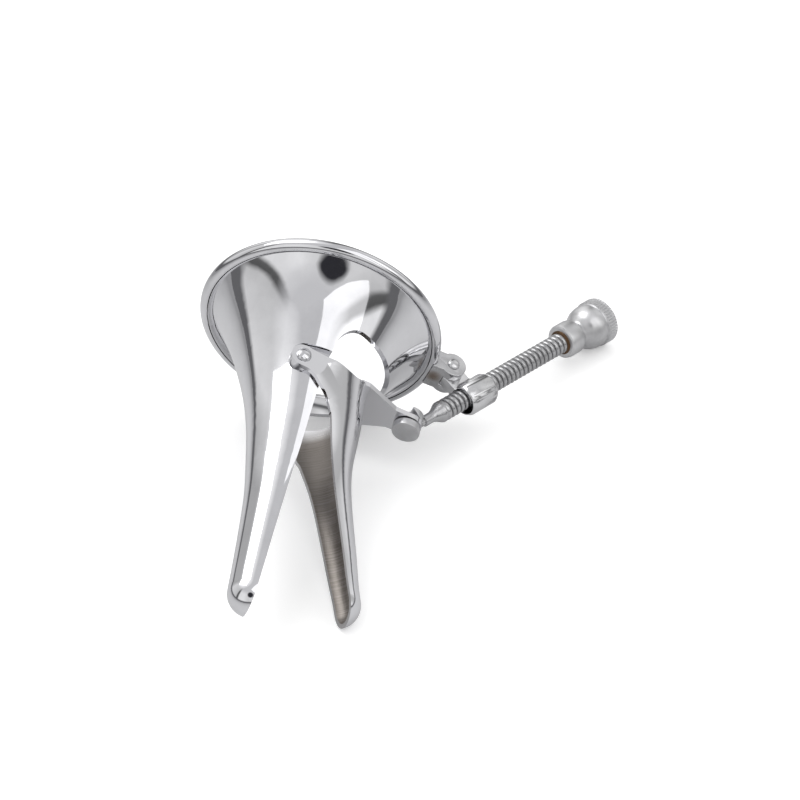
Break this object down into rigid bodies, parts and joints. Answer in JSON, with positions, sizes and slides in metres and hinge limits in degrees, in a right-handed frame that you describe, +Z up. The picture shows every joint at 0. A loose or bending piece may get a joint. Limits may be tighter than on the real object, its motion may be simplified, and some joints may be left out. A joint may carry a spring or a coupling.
{
  "type": "anal speculum",
  "caption": "Flared metal trumpet with a fixed half-tube blade and a hinged one, opened by a knobbed thumb screw through a swivel nut on the rim.",
  "frame": {"origin": "bottom centre of the box round the thing as it lies opened on a table, on its rim, the knob and the moving blade's nose", "axes": "+Z up from the table, +Y from the blades' tips towards the trumpet's rim and the knob, +X towards the knob's side"},
  "size_m": [0.1018, 0.1357, 0.0608],
  "materials": {
    "polished_chrome": "mirror polished",
    "satin_nickel": "satin"
  },
  "bodies": {
    "trumpet": {"trumpet": "polished_chrome", "near_hinge_rivet": "polished_chrome", "far_hinge_rivet": "polished_chrome", "rim_lug": "satin_nickel", "lug_pin": "satin_nickel"},
    "moving_blade": {"moving_blade": "polished_chrome"},
    "swivel": {"swivel_block": "satin_nickel"},
    "screw": {"thumb_screw": "satin_nickel", "knob": "satin_nickel"},
    "nut": {"swivel_nut": "satin_nickel"}
  },
  "joints": [
    {"name": "blade_hinge", "type": "hinge", "parent": "trumpet", "child": "moving_blade", "pos_m": [-0.02436, -0.00383, 0.02769], "axis": [0.4439, -0.1802, 0.8778], "range_deg": [-20.3, 0]},
    {"name": "nut_swivel", "type": "hinge", "parent": "trumpet", "child": "nut", "pos_m": [0.01149, 0.02442, 0.01537], "axis": [0.4439, -0.1802, 0.8778], "range_deg": [0, 12.71]},
    {"name": "screw_swivel", "type": "hinge", "parent": "moving_blade", "child": "swivel", "pos_m": [0.00656, 0.0038, 0.01363], "axis": [0.4439, -0.1802, 0.8778], "range_deg": [0, 33.05]},
    {"name": "screw_turn", "type": "hinge", "parent": "swivel", "child": "screw", "pos_m": [0.00656, 0.0038, 0.01363], "axis": [0.5384, 0.8367, -0.1005], "range_deg": [-2849.5, 0]}
  ],
  "couplings": [
    {"joint": "blade_hinge", "follows": "screw_turn", "ratio": 0.007124},
    {"joint": "nut_swivel", "follows": "screw_turn", "ratio": -0.0044582},
    {"joint": "screw_swivel", "follows": "screw_turn", "ratio": -0.011582}
  ]
}
